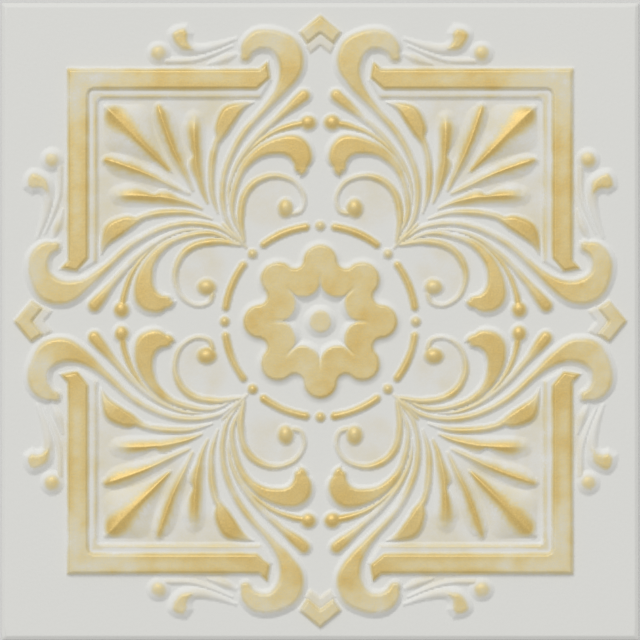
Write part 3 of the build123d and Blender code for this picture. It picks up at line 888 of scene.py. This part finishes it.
def lay_out(mesh, top_faces, side_faces):
    """Flat map of the surface: the top as large as it goes, then the sides and the back."""
    vertices = np.zeros(len(mesh.loops), int)
    mesh.loops.foreach_get("vertex_index", vertices)
    places = np.zeros(len(mesh.vertices) * 3)
    mesh.vertices.foreach_get("co", places)
    corners = places.reshape(-1, 3)[vertices] / (2 * HALF_SIDE * MM)
    starts = np.zeros(len(mesh.polygons), int)
    mesh.polygons.foreach_get("loop_start", starts)
    plan, height = corners[:, :2] + 0.5, corners[:, 2]
    flat = MAP_EDGE + TOP_SHARE * plan
    for face in range(top_faces, top_faces + side_faces):
        here = slice(starts[face], starts[face] + 4)
        middle = plan[here].mean(0) - 0.5
        side = int(np.argmax([middle[1], middle[0], -middle[1], -middle[0]]))
        along = plan[here, side % 2]
        flat[here, 0] = MAP_EDGE + TOP_SHARE * along
        flat[here, 1] = SIDES_START + side * SIDE_ROW + TOP_SHARE * height[here]
    back = slice(starts[top_faces + side_faces], len(vertices))
    flat[back] = BACK_CORNER + BACK_SHARE * plan[back]
    mesh.uv_layers.new(name="OFBake").uv.foreach_set("vector", flat.astype(np.float32).ravel())


def set_normals(mesh, top_normals):
    """Exact normals on the relief, and flat ones on the sides and the back."""
    corner_normals = []
    for polygon in mesh.polygons:
        on_top = all(vertex < len(top_normals) for vertex in polygon.vertices)
        for vertex in polygon.vertices:
            corner_normals.append(tuple(top_normals[vertex]) if on_top else tuple(polygon.normal))
    mesh.normals_split_custom_set(corner_normals)


# Materials
def material(name):
    """A new material, its links and its shader."""
    made = bpy.data.materials.new(name)
    made.use_nodes = True
    return made, made.node_tree.links, made.node_tree.nodes["Principled BSDF"]


def linear(red, green, blue):
    """Colour for a shader from the sRGB values, 0 to 255, that it renders as."""
    channels = [value / 255 for value in (red, green, blue)]
    return (*[c / 12.92 if c <= 0.04045 else ((c + 0.055) / 1.055) ** 2.4 for c in channels], 1.0)


# Foam from bare to fully gilded: strength of the paint and the colour it renders as
PAINT_COLOURS = [
    (0.0, (213, 213, 209)),
    (0.1, (212, 209, 199)),
    (0.3, (208, 201, 176)),
    (0.5, (210, 198, 160)),
    (0.75, (208, 189, 134)),
    (1.0, (204, 175, 104)),
]

# Patches and grain of the paint, and the foam's beads, in millimetres
PATCH_SIZE, GRAIN_SIZE, BEAD_SIZE = 20.0, 1.3, 3.2
PATCH_DETAIL, GRAIN_DETAIL = 3, 2
BUMP_DEPTH, GRAIN_BUMP = 0.05, 1.5

# How much they swing the strength of half strong paint. Strength times bareness is at
# most a quarter, and the scale makes that 1.
PATCH_SWING, GRAIN_SWING, SWING_SCALE = 1.3, 0.6, 4.0

GILT_METAL, GILT_ROUGHNESS, FOAM_ROUGHNESS = 0.26, 0.42, 0.65
# The second of these is painted light: how much lighter the colour of every steep slope of the
# relief is made than the lamps leave it
FLECKS, SLOPE_PAINTED_LIGHT = 0.45, 0.32

FLOOR_COLOUR, FLOOR_ROUGHNESS = (208, 208, 206), 0.9


def worked_out(made, operation, first, second):
    """Output of a math node for two inputs, each a number or another node's output."""
    node = made.node_tree.nodes.new("ShaderNodeMath")
    node.operation = operation
    for socket, value in zip(node.inputs, (first, second)):
        if isinstance(value, (int, float)):
            socket.default_value = value
        else:
            made.node_tree.links.new(value, socket)
    return node.outputs["Value"]


def noise(made, size, detail):
    """Noise whose features are about a size in millimetres, in the object's own space."""
    nodes, links = made.node_tree.nodes, made.node_tree.links
    place = nodes.new("ShaderNodeTexCoord")
    node = nodes.new("ShaderNodeTexNoise")
    node.inputs["Scale"].default_value = 1 / (size * MM)
    node.inputs["Detail"].default_value = detail
    links.new(place.outputs["Object"], node.inputs["Vector"])
    return worked_out(made, "SUBTRACT", node.outputs["Fac"], 0.5)


def point_value(made, name):
    """Output for a value that the mesh holds at each point."""
    node = made.node_tree.nodes.new("ShaderNodeAttribute")
    node.attribute_name = name
    return node.outputs["Fac"]


def paint_cover(made, grain):
    """Strength of the gold, uneven where it is half strong and even where bare or full."""
    strength = point_value(made, "gold")
    patches = worked_out(made, "MULTIPLY", noise(made, PATCH_SIZE, PATCH_DETAIL), PATCH_SWING)
    swing = worked_out(made, "ADD", patches, worked_out(made, "MULTIPLY", grain, GRAIN_SWING))
    bare = worked_out(made, "SUBTRACT", 1.0, strength)
    half_strong = worked_out(made, "MULTIPLY", strength, bare)
    room = worked_out(made, "MULTIPLY", half_strong, SWING_SCALE)
    return worked_out(made, "ADD", strength, worked_out(made, "MULTIPLY", swing, room))


def paint_colour(made, cover, grain):
    """Colour for the cover, flecked where it is gold, and with painted light that makes steep
    slopes lighter.
    """
    nodes, links = made.node_tree.nodes, made.node_tree.links
    colours = nodes.new("ShaderNodeValToRGB")
    stops = colours.color_ramp.elements
    for place, colour in PAINT_COLOURS[1:-1]:
        stops.new(place).color = linear(*colour)
    stops[0].color = linear(*PAINT_COLOURS[0][1])
    stops[len(stops) - 1].color = linear(*PAINT_COLOURS[-1][1])
    links.new(cover, colours.inputs["Fac"])
    flecks = worked_out(made, "MULTIPLY", worked_out(made, "MULTIPLY", grain, FLECKS), cover)
    # Painted light: steep slopes of the relief get a lighter colour, whichever way they face
    painted_slope_light = worked_out(made, "MULTIPLY", point_value(made, "steep"), SLOPE_PAINTED_LIGHT)
    lift = worked_out(made, "ADD", flecks, painted_slope_light)
    shade = nodes.new("ShaderNodeHueSaturation")
    links.new(worked_out(made, "ADD", lift, 1.0), shade.inputs["Value"])
    links.new(colours.outputs["Color"], shade.inputs["Color"])
    return shade.outputs["Color"]


def foam_bump(made, grain):
    """Normal of the skin, with its fused beads and the grain."""
    nodes, links = made.node_tree.nodes, made.node_tree.links
    beads = nodes.new("ShaderNodeTexVoronoi")
    beads.inputs["Scale"].default_value = 1 / (BEAD_SIZE * MM)
    place = nodes.new("ShaderNodeTexCoord")
    links.new(place.outputs["Object"], beads.inputs["Vector"])
    bump = nodes.new("ShaderNodeBump")
    bump.inputs["Distance"].default_value = BUMP_DEPTH * MM
    grainy = worked_out(made, "MULTIPLY", grain, GRAIN_BUMP)
    rough = worked_out(made, "SUBTRACT", grainy, beads.outputs["Distance"])
    links.new(rough, bump.inputs["Height"])
    return bump.outputs["Normal"]


def painted_foam():
    """White foam skin of fused beads, with brushed gold on the raised ornament."""
    made, links, shader = material("painted_foam")
    grain = noise(made, GRAIN_SIZE, GRAIN_DETAIL)
    cover = paint_cover(made, grain)
    links.new(paint_colour(made, cover, grain), shader.inputs["Base Color"])
    links.new(worked_out(made, "MULTIPLY", cover, GILT_METAL), shader.inputs["Metallic"])
    smoother = worked_out(made, "MULTIPLY", cover, GILT_ROUGHNESS - FOAM_ROUGHNESS)
    links.new(worked_out(made, "ADD", smoother, FOAM_ROUGHNESS), shader.inputs["Roughness"])
    links.new(foam_bump(made, grain), shader.inputs["Normal"])
    return made


def floor_material():
    """Plain pale floor."""
    made, _, shader = material("floor_pale")
    shader.inputs["Base Color"].default_value = linear(*FLOOR_COLOUR)
    shader.inputs["Roughness"].default_value = FLOOR_ROUGHNESS
    return made


# Stage
# Metres and degrees, and the camera's sensor in millimetres. The photo's width is
# measured on the ground of the tile.
PHOTO_WIDTH = 0.5022
CAMERA_PLACE, CAMERA_DISTANCE = (-0.0002, 0.0011), 2.6
SENSOR_WIDTH = 36.0
FLOOR_REACH, FLOOR_DROP = 3.0, 0.0005
SUN_STRENGTH = 1.8
SUN_ANGLE = 40.0
SUN_TILT = (-31.0, -12.0)
WORLD_STRENGTH = 0.51


def stage():
    """Pale floor, camera straight above, and soft light from the top of the picture."""
    floor_mesh = bpy.data.meshes.new("floor")
    corners = [(-1, -1), (1, -1), (1, 1), (-1, 1)]
    floor_mesh.from_pydata([(FLOOR_REACH * x, FLOOR_REACH * y, 0) for x, y in corners],
                           [], [range(4)])
    floor = bpy.data.objects.new("floor", floor_mesh)
    floor_mesh.materials.append(floor_material())
    bpy.context.collection.objects.link(floor)
    floor.location.z = -FLOOR_DROP

    camera = bpy.data.objects.new("camera", bpy.data.cameras.new("camera"))
    bpy.context.collection.objects.link(camera)
    camera.data.sensor_width = SENSOR_WIDTH
    camera.data.lens = SENSOR_WIDTH * (CAMERA_DISTANCE - GROUND * MM) / PHOTO_WIDTH
    camera.location = (*CAMERA_PLACE, CAMERA_DISTANCE)
    bpy.context.scene.camera = camera

    sun = bpy.data.objects.new("key_light", bpy.data.lights.new("key_light", "SUN"))
    bpy.context.collection.objects.link(sun)
    sun.data.energy = SUN_STRENGTH
    sun.data.angle = radians(SUN_ANGLE)
    sun.rotation_euler = (radians(SUN_TILT[0]), radians(SUN_TILT[1]), 0.0)

    world = bpy.data.worlds.new("studio")
    bpy.context.scene.world = world
    world.use_nodes = True
    background = world.node_tree.nodes["Background"]
    background.inputs["Color"].default_value = (1.0, 1.0, 1.0, 1.0)
    background.inputs["Strength"].default_value = WORLD_STRENGTH
    bpy.context.scene.view_settings.view_transform = "Standard"


stage()
foam = bpy.data.objects.new("foam_tile", tile_mesh(ornament()))
foam.data.materials.append(painted_foam())
bpy.context.collection.objects.link(foam)
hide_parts(NODE)
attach(foam, "root")
